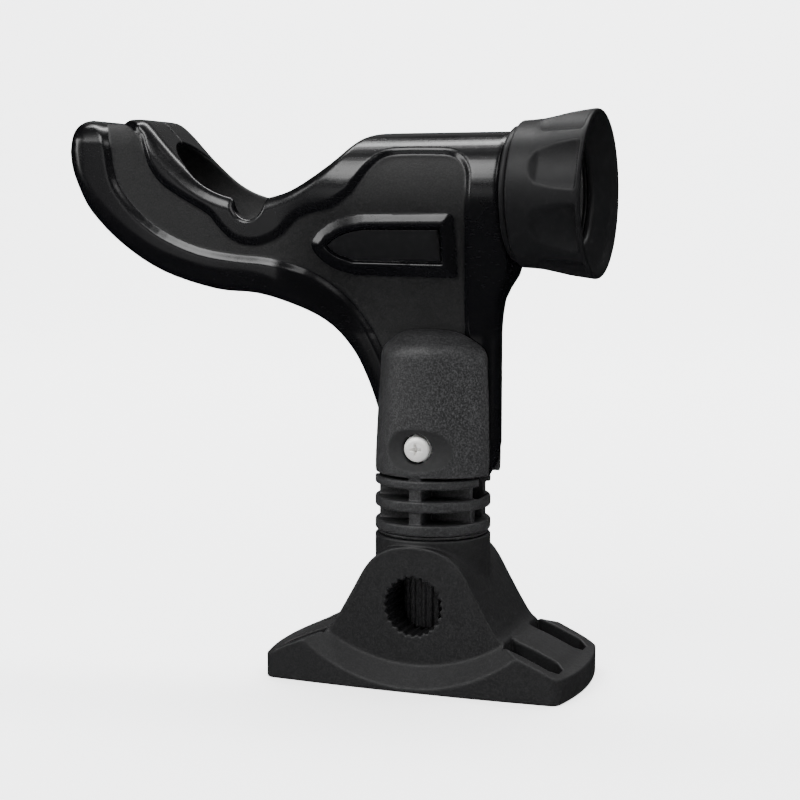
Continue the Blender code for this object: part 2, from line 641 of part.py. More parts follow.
def make_rod_tube(parts, joint):
    """Liner tube with its locating rib, rear flange and the spigot that carries the collar."""
    profile = [(TUBE_BORE_R, TUBE_FRONT), (TUBE_R, TUBE_FRONT)]
    profile += [(TUBE_R, RIB_X[0]), (RIB_R, RIB_X[0]), (RIB_R, RIB_X[1]), (TUBE_R, RIB_X[1])]
    profile += [(TUBE_R, BODY_REAR + GAP), (FLANGE_R, BODY_REAR + GAP)]
    profile += [(FLANGE_R, FLANGE_REAR), (SPIGOT_R, FLANGE_REAR)]
    profile += [(SPIGOT_R, SPIGOT_END), (22.2 * MM, SPIGOT_END), (22.2 * MM, GLAND_SEAT)]
    profile += [(TUBE_BORE_R, GLAND_SEAT)]
    tube = turned("tube", profile, 40, "X", (0.0, 0.0, ROD_Z))
    finish(tube, "rod_tube", "moulded_matte", parts, joint)

    gland = in_metres([(18.9, 48.3), (21.9, 48.3), (21.9, 56.0), (20.6, 56.3), (18.9, 54.0)])
    ring = turned("gland", gland, 32, "X", (0.0, 0.0, ROD_Z))
    finish(ring, "gland_ring", "rubber_black", parts, joint)


def make_collar(parts, thrust_joint, collar_joint):
    """Slip washer, and the screw collar with its scalloped grip and funnel mouth."""
    rod_axis = (0.0, 0.0, ROD_Z)
    flat = in_metres([(20.2, 56.6), (24.3, 56.6), (24.3, 57.7), (20.2, 57.7)])
    finish(turned("slip", flat, 32, "X", rod_axis), "thrust_washer", "satin_black", parts, thrust_joint)

    skirt = in_metres([(28.2, 37.75), (28.7, 38.4), (29.3, 46.6), (30.0, 50.0)])
    grip = in_metres([(31.5, 57.0), (32.4, 63.0), (32.8, 66.2), (32.8, 67.4), (31.9, 68.0)])
    funnel = in_metres([(30.4, 67.0), (25.4, 63.8), (20.6, 60.6), (20.0, 59.8), (20.0, 58.0)])
    inside = in_metres([(24.8, 58.0), (24.8, 37.75)])
    collar = turned("collar", [*skirt, *grip, *funnel, *inside], 64, "X", rod_axis)
    for i in range(SCALLOPS):
        angle = 2 * math.pi * (i + 0.5) / SCALLOPS - SCALLOP_TURN
        distance = SCALLOP_R + SCALLOP_FLOOR_R
        centre = (0.0, distance * math.sin(angle), ROD_Z + distance * math.cos(angle))
        collar = cut(collar, cylinder("scallop", SCALLOP_R, SCALLOPS_X[0], SCALLOPS_X[1], 72, "X", centre))
    finish(collar, "clamp_collar", "satin_black", parts, collar_joint)


def make_materials():
    """Colours and finishes of the pieces."""
    make_material("moulded_matte", (0.022, 0.022, 0.023), 0.62)
    make_material("gloss_black", (0.006, 0.006, 0.007), 0.18)
    make_material("satin_black", (0.012, 0.012, 0.013), 0.38)
    make_material("rubber_black", (0.02, 0.02, 0.02), 0.8)
    make_material("nylon_white", (0.7, 0.69, 0.65), 0.5)
    make_material("stainless", (0.62, 0.61, 0.59), 0.28, 1.0)


def main():
    """Builds the rod holder."""
    clear_scene()
    parts = make_collection("rod_holder")
    make_materials()

    swivel = joint_empty("swivel_axis", (0.0, 0.0, RING_Z[0]), parts)
    lift = joint_empty("lift_axis", (0.0, 0.0, POST_BOTTOM), parts, swivel)
    tilt = joint_empty("tilt_axis", (0.0, 0.0, PIVOT_Z), parts, lift)
    travel = joint_empty("collar_travel", (57.0 * MM, 0.0, ROD_Z), parts, tilt)
    turn = joint_empty("collar_axis", (53.0 * MM, 0.0, ROD_Z), parts, travel)

    make_base(parts)
    make_swivel_ring(parts, swivel)
    make_post(parts, lift)
    make_pivot(parts, lift, tilt)
    body = open_body(make_body_block())
    shell_half(body, -1, "holder_front_shell", parts, tilt)
    shell_half(body, 1, "holder_rear_shell", parts, tilt)
    bpy.data.objects.remove(body)
    make_shell_screws(parts, tilt)
    for name, y_sign in (("badge_front", -1), ("badge_rear", 1)):
        badge = badge_block(name, BADGE_INSET, BADGE_BOTTOM, BADGE_TOP, y_sign)
        finish(badge, name, "gloss_black", parts, tilt)
    make_rod_tube(parts, tilt)
    make_collar(parts, travel, turn)


main()
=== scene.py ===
"""Looks of the rod holder: glossy shells, moulded post and foot, screw collar and fittings.

The fields below are in millimetres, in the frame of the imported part, and negative inside a solid.
The rod lies along X at ROD_Z, and the tilt axis runs along Y at PIVOT_Z.
"""

import math

import bmesh
import bpy
import numpy as np
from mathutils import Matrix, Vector


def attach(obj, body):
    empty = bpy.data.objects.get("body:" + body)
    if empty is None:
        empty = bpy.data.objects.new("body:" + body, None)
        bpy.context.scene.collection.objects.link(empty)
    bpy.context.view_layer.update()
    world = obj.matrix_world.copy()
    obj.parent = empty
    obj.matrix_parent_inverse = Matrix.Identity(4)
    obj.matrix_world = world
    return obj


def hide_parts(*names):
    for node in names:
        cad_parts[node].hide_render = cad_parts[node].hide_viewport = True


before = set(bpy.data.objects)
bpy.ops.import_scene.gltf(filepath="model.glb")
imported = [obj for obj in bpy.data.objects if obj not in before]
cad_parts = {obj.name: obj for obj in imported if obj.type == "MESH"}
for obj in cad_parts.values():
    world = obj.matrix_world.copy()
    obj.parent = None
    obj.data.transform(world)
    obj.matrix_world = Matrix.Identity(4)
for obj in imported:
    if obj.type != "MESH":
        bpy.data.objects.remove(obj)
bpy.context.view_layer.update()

MM = 0.001

COS_30 = 0.8660254
STEEP_SHARE = 0.75

PIVOT_Z = 95.5
ROD_Z = 195.5

# Holder
ARM_HALF = 22.6
NOSE_PLAN_R = 19.0
NOSE_PLAN_X = -146.0
TUBE_R = 24.0
TUBE_CENTRE_Z = 196.0
WEB_HALF = 7.0
PARTING_HALF_GAP = 0.15
BORE_START = (-22.0, 195.5, 19.0)
BORE_END = (-172.0, 200.0, 17.5)
NOTCH = (-72.0, 192.2, 6.5)
TUBE_FRONT = 16.2
TUBE_SEAT_R = 21.1
RIB_X = 29.5
RIB_SEAT_HALF = 1.8
RIB_SEAT_R = 22.7
PANEL_DEPTH = 1.9
PANEL_WALL = 4.2
PANEL_SPREAD = 0.8
BOSS_RISE = 1.0
BOSS_WALL = 4.3
TROUGH_DEPTH = 0.7
TROUGH_WALL = (5.3, 6.5)

# Pivot
SCREW_HOLE_R = 3.3
BUSHING_HOLE_R = 5.1
DISC_SEAT_R = 12.0
DISC_SEAT_Y = 5.4
HEAD_R = 5.2
HEAD_SEAT_R = 6.0
HEAD_SEAT_Y = 17.0
NUT_HALF = 5.0
NUT_POCKET_HALF = 5.3
NUT_SEAT_Y = 14.0

# Post
TEETH = 24
STUB_TEETH = (11.85, 10.85)
NECK_R = 23.5
FINS = ((60.9, 65.3), (70.4, 74.8), (79.6, 83.1))
SLEEVE_BOTTOM = 84.2
SLEEVE_TOP = 142.6
SLEEVE_STRETCH = 1.19
SLEEVE_STRETCH_RISE = 0.0024
SLOT_HALF = 7.3
SLOT_HALF_LENGTH = 32.0
SLOT_FLOOR_R = 29.7
SLOT_FLOOR_TOP = 83.9
EYE_CENTRE = 31.8
EYE_R = 12.0

# Base
SOCKET_TEETH = (12.2, 11.2)
SOCKET_Z = 32.8
FOOT_HALF = (60.5, 31.0)
FOOT_BOW = (5.0, 2.0)
EAR_TOP = 24.5
SADDLE_HALF = 24.45
SADDLE_TOP = 57.0
COVE_Z = 77.0
COVE_R = (67.7, 75.6)
COVE_DEPTH = 8.85
COVE_WALL = 23.85
SLOT_CENTRE = (48.5, 19.0)
SLOT_RUN = 4.5
SLOT_R = 3.2

# Collar
SCALLOPS = 8
SCALLOP_R = 25.0
SCALLOP_TURN = 2.0
SCALLOP_X = (44.0, 66.1)
SCALLOP_START_R = 29.4
SCALLOP_START_X = (45.5, 50.5)
SCALLOP_DIP = 1.3
SCALLOP_RISE = 0.05


# Fields


def smoothstep(value, low, high):
    """0 below low, 1 above high, and smooth between."""
    t = np.clip((value - low) / (high - low), 0.0, 1.0)
    return t * t * (3.0 - 2.0 * t)


def arc(centre, radius, start, end, steps):
    """Points along an arc, with angles in degrees."""
    angles = [math.radians(start + (end - start) * i / steps) for i in range(steps + 1)]
    return [(centre[0] + radius * math.cos(a), centre[1] + radius * math.sin(a)) for a in angles]


def curve(points, steps=4, closed=False):
    """A Catmull-Rom curve through points."""
    count = len(points)
    line = []
    for i in range(count if closed else count - 1):
        if closed:
            p0, p1, p2, p3 = (Vector(points[(i + k) % count]) for k in (-1, 0, 1, 2))
        else:
            p0, p1, p2, p3 = (Vector(points[min(max(i + k, 0), count - 1)]) for k in (-1, 0, 1, 2))
        for j in range(steps):
            t = j / steps
            bend = (2 * p0 - 5 * p1 + 4 * p2 - p3) * t * t + (3 * p1 - p0 - 3 * p2 + p3) * t**3
            line.append(tuple(0.5 * (2 * p1 + (p2 - p0) * t + bend)))
    if not closed:
        line.append(tuple(points[-1]))
    return line


def path_distance(u, v, points):
    """Distance from (u, v) to an open path."""
    best = np.full(np.broadcast(u, v).shape, 1e9)
    for (u0, v0), (u1, v1) in zip(points, points[1:]):
        run_u, run_v = u1 - u0, v1 - v0
        length = run_u * run_u + run_v * run_v
        t = np.clip(((u - u0) * run_u + (v - v0) * run_v) / max(length, 1e-12), 0.0, 1.0)
        best = np.minimum(best, (u - u0 - t * run_u) ** 2 + (v - v0 - t * run_v) ** 2)
    return np.sqrt(best)


def outline_field(u, v, points):
    """Signed distance from (u, v) to a closed outline, negative inside."""
    inside = np.zeros(np.broadcast(u, v).shape, bool)
    loop = [*points, points[0]]
    for (u0, v0), (u1, v1) in zip(loop, loop[1:]):
        if v0 != v1:
            crosses = ((v0 > v) != (v1 > v)) & (u < (u1 - u0) * (v - v0) / (v1 - v0) + u0)
            inside ^= crosses
    return np.where(inside, -1.0, 1.0) * path_distance(u, v, loop)


def both(a, b, radius):
    """Intersection of two fields, with its convex edge rounded to radius."""
    corner = np.hypot(np.maximum(a + radius, 0.0), np.maximum(b + radius, 0.0))
    return np.minimum(np.maximum(a, b), -radius) + corner


def either(a, b, radius):
    """Union of two fields, with its concave corner filled to radius."""
    return -both(-a, -b, radius)


def without(a, b, radius):
    """Field a with b taken away, and the edge rounded to radius."""
    return both(a, -b, radius)


def slab(value, low, high):
    """Field of the space between two planes."""
    return np.maximum(low - value, value - high)


def box_field(x, y, z, low, high, radius=0.0):
    """Field of a box with rounded edges."""
    gaps = []
    for value, a, b in zip((x, y, z), low, high):
        gaps.append(np.abs(value - (a + b) / 2) - (b - a) / 2 + radius)
    outside = np.sqrt(sum(np.maximum(gap, 0.0) ** 2 for gap in gaps))
    return outside + np.minimum(np.maximum(np.maximum(gaps[0], gaps[1]), gaps[2]), 0.0) - radius


def star_field(u, v, radii):
    """Field of a ring of V teeth between two radii, eased because their flanks are steep."""
    rho = np.hypot(u, v)
    angle = np.arctan2(v, u)
    pitch = 2 * math.pi / TEETH
    phase = np.abs((angle / pitch) % 1.0 - 0.5) * 2.0
    tip, root = radii
    return (rho - (root + (tip - root) * smoothstep(phase, 0.0, 1.0))) * STEEP_SHARE


def hexagon_field(u, v, half):
    """Field of a hexagon with two flats level, by its half width across flats."""
    return np.maximum(np.abs(u) * COS_30 + np.abs(v) * 0.5, np.abs(v)) - half


def surface(name, field, low, high, step, passes=3):
    """A closed mesh on field = 0, by surface nets, with its points drawn onto the surface."""
    axes = [np.arange(a - 1.5 * step, b + 2.5 * step, step) for a, b in zip(low, high)]
    grid = np.meshgrid(*axes, indexing="ij", sparse=True)
    shape = tuple(len(a) for a in axes)
    values = np.broadcast_to(field(*grid), shape).astype(np.float32)
    values = np.where(values == 0.0, 1e-6, values)
    inside = values < 0
    count = np.zeros([n - 1 for n in shape], np.int8)
    for i in (0, 1):
        for j in (0, 1):
            for k in (0, 1):
                count += inside[i : shape[0] - 1 + i, j : shape[1] - 1 + j, k : shape[2] - 1 + k]
    mixed = (count > 0) & (count < 8)
    cells = np.argwhere(mixed)
    number = np.full(mixed.shape, -1, np.int64)
    number[mixed] = np.arange(len(cells))

    total = np.zeros((len(cells), 3))
    weight = np.zeros(len(cells))
    for axis in range(3):
        others = [n for n in range(3) if n != axis]
        for i in (0, 1):
            for j in (0, 1):
                start = np.zeros(3, int)
                start[others[0]], start[others[1]] = i, j
                end = start.copy()
                end[axis] = 1
                va = values[tuple((cells + start).T)].astype(float)
                vb = values[tuple((cells + end).T)].astype(float)
                cut = (va < 0) != (vb < 0)
                t = np.where(cut, va / np.where(cut, va - vb, 1.0), 0.0)
                total += np.where(cut[:, None], start + (end - start) * t[:, None], 0.0)
                weight += cut
    origin = np.array([a[0] for a in axes])
    points = origin + (cells + total / weight[:, None]) * step

    nudge = 0.02
    for _ in range(passes):
        here = field(*points.T)
        slope = np.zeros_like(points)
        for axis in range(3):
            shift = np.zeros(3)
            shift[axis] = nudge
            slope[:, axis] = (field(*(points + shift).T) - field(*(points - shift).T)) / (2 * nudge)
        size = np.maximum((slope**2).sum(1), 0.05)
        move = -slope * (here / size)[:, None]
        reach = np.linalg.norm(move, axis=1)
        limit = 0.4 * step
        points += move * np.minimum(1.0, limit / np.maximum(reach, 1e-9))[:, None]

    quads = []
    for axis in range(3):
        u, v = (axis + 1) % 3, (axis + 2) % 3
        first = [slice(None)] * 3
        second = [slice(None)] * 3
        first[axis], second[axis] = slice(0, -1), slice(1, None)
        flip = inside[tuple(first)] != inside[tuple(second)]
        edge = np.argwhere(flip)
        edge = edge[(edge[:, u] > 0) & (edge[:, v] > 0)]
        edge = edge[(edge[:, u] < shape[u] - 1) & (edge[:, v] < shape[v] - 1)]
        corners = []
        for du, dv in ((-1, -1), (0, -1), (0, 0), (-1, 0)):
            cell = edge.copy()
            cell[:, u] += du
            cell[:, v] += dv
            corners.append(number[tuple(cell.T)])
        faces = np.stack(corners, 1)
        outward = inside[tuple(edge.T)]
        faces[~outward] = faces[~outward][:, ::-1]
        quads.append(faces)
    faces = np.concatenate(quads)

    mesh = bpy.data.meshes.new(name)
    mesh.vertices.add(len(points))
    mesh.vertices.foreach_set("co", (points * MM).astype(np.float32).ravel())
    mesh.loops.add(4 * len(faces))
    mesh.loops.foreach_set("vertex_index", faces.astype(np.int32).ravel())
    mesh.polygons.add(len(faces))
    mesh.polygons.foreach_set("loop_start", np.arange(0, 4 * len(faces), 4, dtype=np.int32))
    mesh.update(calc_edges=True)
    mesh.validate()
    mesh.shade_smooth()
    obj = bpy.data.objects.new(name, mesh)
    bpy.context.scene.collection.objects.link(obj)
    return obj


def thinned(obj, faces):
    """The object with its triangles cut down to about that number."""
    have = sum(len(p.vertices) - 2 for p in obj.data.polygons)
    if have > faces:
        modifier = obj.modifiers.new("thin", "DECIMATE")
        modifier.ratio = faces / have
        graph = bpy.context.evaluated_depsgraph_get()
        mesh = bpy.data.meshes.new_from_object(obj.evaluated_get(graph))
        obj.modifiers.clear()
        obj.data = mesh
        mesh.shade_smooth()
    return obj


def paint_mask(obj, name, mask):
    """A smooth value at each vertex, which a material reads by its name."""
    co = np.zeros(len(obj.data.vertices) * 3, np.float32)
    obj.data.vertices.foreach_get("co", co)
    x, y, z = co.reshape(-1, 3).astype(float).T / MM
    attribute = obj.data.attributes.new(name, "FLOAT", "POINT")
    attribute.data.foreach_set("value", np.broadcast_to(mask(x, y, z), x.shape).astype(np.float32))


# Holder


def side_outline():
    """Side view of the whole body, split into its upper, rear and lower edges."""
    nose = [(-159.8, 213.0), (-159.0, 219.6), (-156.6, 224.0), (-151.5, 226.6), (-140.0, 227.0)]
    crown = [(-128.0, 227.0), (-121.5, 226.4), (-117.3, 223.2), (-112.7, 218.3), (-105.8, 211.1)]
    dip = [(-98.8, 205.0), (-91.7, 200.3), (-84.0, 196.9), (-76.0, 195.0), (-68.0, 195.0), (-61.3, 196.4)]
    rise = [(-54.7, 198.2), (-48.1, 200.9), (-41.6, 204.6), (-35.2, 209.6), (-30.5, 215.0)]
    roof = [(-26.5, 219.0), (-20.0, 221.6), (-8.0, 222.5)]
    upper = curve([*nose, *crown, *dip, *rise, *roof], 3) + [(34.5, 222.5)]
    rear = [(34.5, 169.0), (33.4, 163.6), (30.6, 158.6), (28.9, 154.0), (28.6, 148.0)]
    heel = [(28.6, 97.0), (27.2, 89.0), (24.0, 83.5), (18.0, 81.6)]
    belly = [(-27.2, 120.0), (-34.0, 133.0), (-43.5, 144.4), (-56.0, 151.5), (-72.0, 155.6), (-90.0, 157.0)]
    chin = [(-113.6, 163.7), (-132.4, 174.6), (-146.6, 187.7), (-156.0, 201.5), (-159.8, 213.0)]
    lobe = arc((0.0, PIVOT_Z), 22.0, 262, 160, 10)
    lower = [*lobe, *curve([(-22.8, 108.0), *belly, *chin], 4)]
    return upper, [*rear, *heel], lower


def tube_outline():
    """Cross-section of the tube and the flank that tapers down to the web."""
    flank = curve([(7.0, 140.0), (7.9, 148.5), (9.8, 157.0), (12.8, 166.0), (16.6, 175.0)], 4)
    round_part = arc((0.0, TUBE_CENTRE_Z), TUBE_R, -27, 90, 26)
    half = [(WEB_HALF, 40.0), *flank, *round_part]
    return half + [(-a, b) for a, b in reversed(half)]


UPPER, REAR, LOWER = side_outline()
SILHOUETTE = [*UPPER, *REAR, *LOWER]
TUBE_SECTION = tube_outline()
PANEL = [
    *[(-131.0, 232.0), (-147.5, 232.0), (-147.5, 227.0)],
    *curve(
        [(-143.4, 225.0), (-138.6, 220.0), (-136.6, 214.0), (-135.6, 207.0), (-133.2, 199.0)]
        + [(-127.0, 190.8), (-119.5, 183.8), (-109.0, 177.3), (-94.0, 171.6), (-78.0, 169.0)]
        + [(-62.5, 167.6), (-49.0, 163.6), (-39.5, 156.6), (-31.0, 147.0), (-24.4, 137.0), (-18.0, 124.0)],
        3,
    ),
    *[(-16.0, 117.0), (16.6, 117.0)],
    *curve(
        [(17.3, 119.0), (17.4, 137.0), (17.9, 155.0), (20.0, 174.0), (21.6, 184.0), (22.6, 194.0)]
        + [(22.6, 202.5), (21.0, 207.0), (18.0, 210.3), (14.2, 212.2), (8.4, 213.0)]
        + [(-8.0, 213.2), (-15.5, 212.0), (-20.5, 208.0), (-24.5, 202.6)],
        3,
    ),
    *curve(
        [(-28.0, 198.0), (-36.0, 192.6), (-46.0, 190.4), (-53.0, 187.0), (-58.6, 181.6), (-64.5, 178.6)]
        + [(-71.0, 177.6), (-77.6, 179.2), (-83.0, 183.6), (-88.8, 189.8), (-100.5, 196.2), (-109.0, 201.6)]
        + [(-114.5, 208.0), (-117.0, 215.0), (-119.6, 221.0), (-125.3, 225.4)],
        3,
    ),
    (-131.0, 227.2),
]
BOSS = [
    *curve(
        [(-30.0, 162.9), (-38.0, 165.6), (-43.6, 170.2), (-46.0, 175.6), (-42.6, 181.0), (-36.0, 185.2)]
        + [(-29.0, 187.4), (-22.0, 188.4)],
        4,
    ),
    *[(13.2, 188.6), (14.8, 188.0), (15.6, 186.6), (14.2, 164.2), (13.2, 162.8), (11.6, 162.3)],
]


class Chart:
    """A function of two coordinates, read from a fine grid by interpolation."""

    def __init__(self, function, low, high, step=0.35):
        self.low, self.step = low, step
        u, v = (np.arange(a, b + step, step) for a, b in zip(low, high))
        self.values = function(u[:, None], v[None, :])

    def __call__(self, u, v):
        place_u = np.clip((u - self.low[0]) / self.step, 0, self.values.shape[0] - 1.001)
        place_v = np.clip((v - self.low[1]) / self.step, 0, self.values.shape[1] - 1.001)
        i, j = place_u.astype(int), place_v.astype(int)
        s, t = place_u - i, place_v - j
        values = self.values
        near = values[i, j] * (1 - t) + values[i, j + 1] * t
        far = values[i + 1, j] * (1 - t) + values[i + 1, j + 1] * t
        return near * (1 - s) + far * s


def edge_radius(x, z):
    """How round the body's outer edge is: broad along the belly, tight along the rim."""
    to_upper = path_distance(x, z, [*UPPER, REAR[0], REAR[1]])
    to_lower = path_distance(x, z, LOWER)
    share = smoothstep(to_lower / (to_lower + to_upper + 1e-6), 0.35, 0.75)
    low_r = 10.0 + (6.2 - 10.0) * smoothstep(x, -70.0, -34.0)
    high_r = 12.0 + (7.0 - 12.0) * smoothstep(x, -130.0, -112.0)
    high_r = high_r + (2.4 - 7.0) * smoothstep(x, -62.0, -20.0)
    back_r = 2.4 + (6.2 - 2.4) * (1.0 - smoothstep(z, 140.0, 162.0))
    radius = low_r + (high_r - low_r) * share
    return radius + (back_r - radius) * smoothstep(x, 2.0, 16.0)


SIDE_LOW, SIDE_HIGH = (-175.0, 60.0), (50.0, 240.0)
side_chart = Chart(lambda x, z: outline_field(x, z, SILHOUETTE), SIDE_LOW, SIDE_HIGH)
radius_chart = Chart(edge_radius, SIDE_LOW, SIDE_HIGH)
panel_chart = Chart(lambda x, z: outline_field(x, z, PANEL), SIDE_LOW, SIDE_HIGH)
boss_chart = Chart(lambda x, z: outline_field(x, z, BOSS), (-56.0, 152.0), (26.0, 200.0))
section_chart = Chart(lambda a, z: outline_field(a, z, TUBE_SECTION), (-2.0, 60.0), (40.0, 240.0))


def bore_field(x, y, z):
    """Field of the tapered bore through the arm and the ring nose."""
    along = np.maximum((x - BORE_START[0]) / (BORE_END[0] - BORE_START[0]), 0.0)
    centre_z = BORE_START[1] + (BORE_END[1] - BORE_START[1]) * along
    radius = BORE_START[2] + (BORE_END[2] - BORE_START[2]) * along
    return np.hypot(y, z - centre_z) - radius


def notch_field(x, z):
    """Field of the hook-shaped notch in each wall, which opens upwards."""
    centre_x, centre_z, radius = NOTCH
    round_part = np.hypot(x - centre_x, z - centre_z) - radius
    mouth_half = radius + 0.12 * (z - centre_z)
    mouth = np.maximum(np.abs(x - centre_x) - mouth_half, centre_z - z)
    return np.minimum(round_part, mouth)


def outer_field(x, y, z):
    """The body's outside, before its panels, bosses and bores."""
    a = np.abs(y)
    ahead = NOSE_PLAN_X - x
    beside = a - (ARM_HALF - NOSE_PLAN_R)
    reach = np.hypot(np.maximum(ahead, 0.0), np.maximum(beside, 0.0))
    arm = reach + np.minimum(np.maximum(ahead, beside), 0.0) - NOSE_PLAN_R
    blend = smoothstep(x, -62.0, -30.0)
    section = arm * (1.0 - blend) + section_chart(a, z) * blend
    return both(section, side_chart(x, z), radius_chart(x, z))


def panel_share(x, z):
    """0 outside the recessed panel, 1 on its floor."""
    return smoothstep(PANEL_SPREAD - panel_chart(x, z), 0.0, PANEL_WALL)


def boss_depth(x, z):
    """How far inside the boss's outline a point lies; 0 outside it."""
    inside = (np.abs(x + 15.0) < 40.0) & (np.abs(z - 176.0) < 22.0)
    return np.where(inside, np.maximum(-boss_chart(x, z), 0.0), 0.0)


def skin_drop(x, z):
    """How far the skin lies below the plain outside: panel, badge boss and the trough in it."""
    depth = boss_depth(x, z)
    boss = np.clip(depth / BOSS_WALL, 0.0, 1.0)
    trough = smoothstep(depth, *TROUGH_WALL)
    drop = PANEL_DEPTH * panel_share(x, z) * (1.0 - boss) - BOSS_RISE * boss
    return drop + (BOSS_RISE + TROUGH_DEPTH) * trough


def body_field(x, y, z):
    """The whole body: outside, panels, bosses, bores, notches and seats."""
    a = np.abs(y)
    body = outer_field(x, y, z) + skin_drop(x, z)
    body = without(body, bore_field(x, y, z), 2.0)
    body = without(body, notch_field(x, z), 2.0)
    rho = np.hypot(y, z - ROD_Z)
    seat_r = np.where(np.abs(x - RIB_X) < RIB_SEAT_HALF, RIB_SEAT_R, TUBE_SEAT_R)
    body = without(body, np.maximum(rho - seat_r, TUBE_FRONT - x), 0.3)
    pivot = np.hypot(x, z - PIVOT_Z)
    body = without(body, pivot - BUSHING_HOLE_R, 0.3)
    return without(body, np.maximum(pivot - DISC_SEAT_R, DISC_SEAT_Y - a), 0.3)


# Place of each shell screw, and the half width of the body there
SHELL_SCREWS = ((-101.0, 174.5, 22.6), (-50.0, 160.0, 17.5), (19.5, 152.0, 8.6), (19.0, 120.0, 7.0))
SHELL_SCREW_SINK = 3.0


def front_shell_field(x, y, z):
    """Half of the body on the screw-head side of the parting plane."""
    return both(body_field(x, y, z), y + PARTING_HALF_GAP, 0.35)


def rear_shell_field(x, y, z):
    """The other half, with the seats of the shell screws."""
    body = both(body_field(x, y, z), PARTING_HALF_GAP - y, 0.35)
    for centre_x, centre_z, half in SHELL_SCREWS:
        seat = np.maximum(np.hypot(x - centre_x, z - centre_z) - 4.0, half - SHELL_SCREW_SINK - y)
        body = without(body, seat, 0.4)
    return body


# Post, base, collar and screw


def eye_field(a, z):
    """Scoop across each cheek of the sleeve, around the screw head and the nut."""
    return np.hypot(a - EYE_CENTRE, z - PIVOT_Z) - EYE_R


def post_field(x, y, z):
    """Stub, cored neck with fins, and the forked sleeve."""
    a = np.abs(y)
    rho = np.hypot(x, y)
    stub = both(star_field(x, y, STUB_TEETH), slab(z, 21.0, 62.0), 0.5)
    groove = np.maximum(slab(z, 48.6, 51.4), 8.6 - rho)
    post = without(stub, groove, 0.25)
    for low, high in FINS:
        post = np.minimum(post, both(rho - NECK_R, slab(z, low, high), 0.9))
    wall = box_field(x, a, z, (-19.6, 5.0, 62.0), (19.6, 9.8, 86.0), 0.3)
    rib = box_field(x, a, z, (-2.6, 6.0, 62.0), (2.6, 22.2, 86.0), 0.4)
    post = either(post, np.minimum(wall, rib), 0.7)

    taper = [(23.0, SLEEVE_BOTTOM), (23.4, 85.4), (23.3, 92.0), (22.7, 104.0), (22.0, 116.0), (21.3, 127.0)]
    shoulder = [(21.1, 131.0), (20.5, 133.7), (19.2, 135.9), (17.0, 138.0)]
    dome = [(14.0, 140.4), (11.0, 141.7), (7.0, 142.3), (0.0, SLEEVE_TOP)]
    half = curve([*taper, *shoulder, *dome], 3)
    profile = [(0.0, SLEEVE_BOTTOM), *half, (-10.0, SLEEVE_TOP), (-10.0, SLEEVE_BOTTOM)]
    egg = np.where(x > 0.0, x / (SLEEVE_STRETCH + SLEEVE_STRETCH_RISE * (z - 86.0)), x)
    post = either(post, outline_field(np.hypot(egg, y), z, profile), 0.5)

    pivot = np.hypot(x, z - PIVOT_Z)
    reach = np.where(z < SLOT_FLOOR_TOP, pivot - SLOT_FLOOR_R, np.abs(x) - SLOT_HALF_LENGTH)
    slot = np.maximum(a - SLOT_HALF, reach)
    post = without(post, slot, 0.8)
    post = without(post, eye_field(a, z), 0.35)
    seat = np.maximum(pivot - HEAD_SEAT_R, HEAD_SEAT_Y + y)
    post = without(post, seat, 0.35)
    pocket = hexagon_field(x, z - PIVOT_Z, NUT_POCKET_HALF)
    post = without(post, np.maximum(pocket, NUT_SEAT_Y - y), 0.3)
    return without(post, pivot - SCREW_HOLE_R, 0.2)


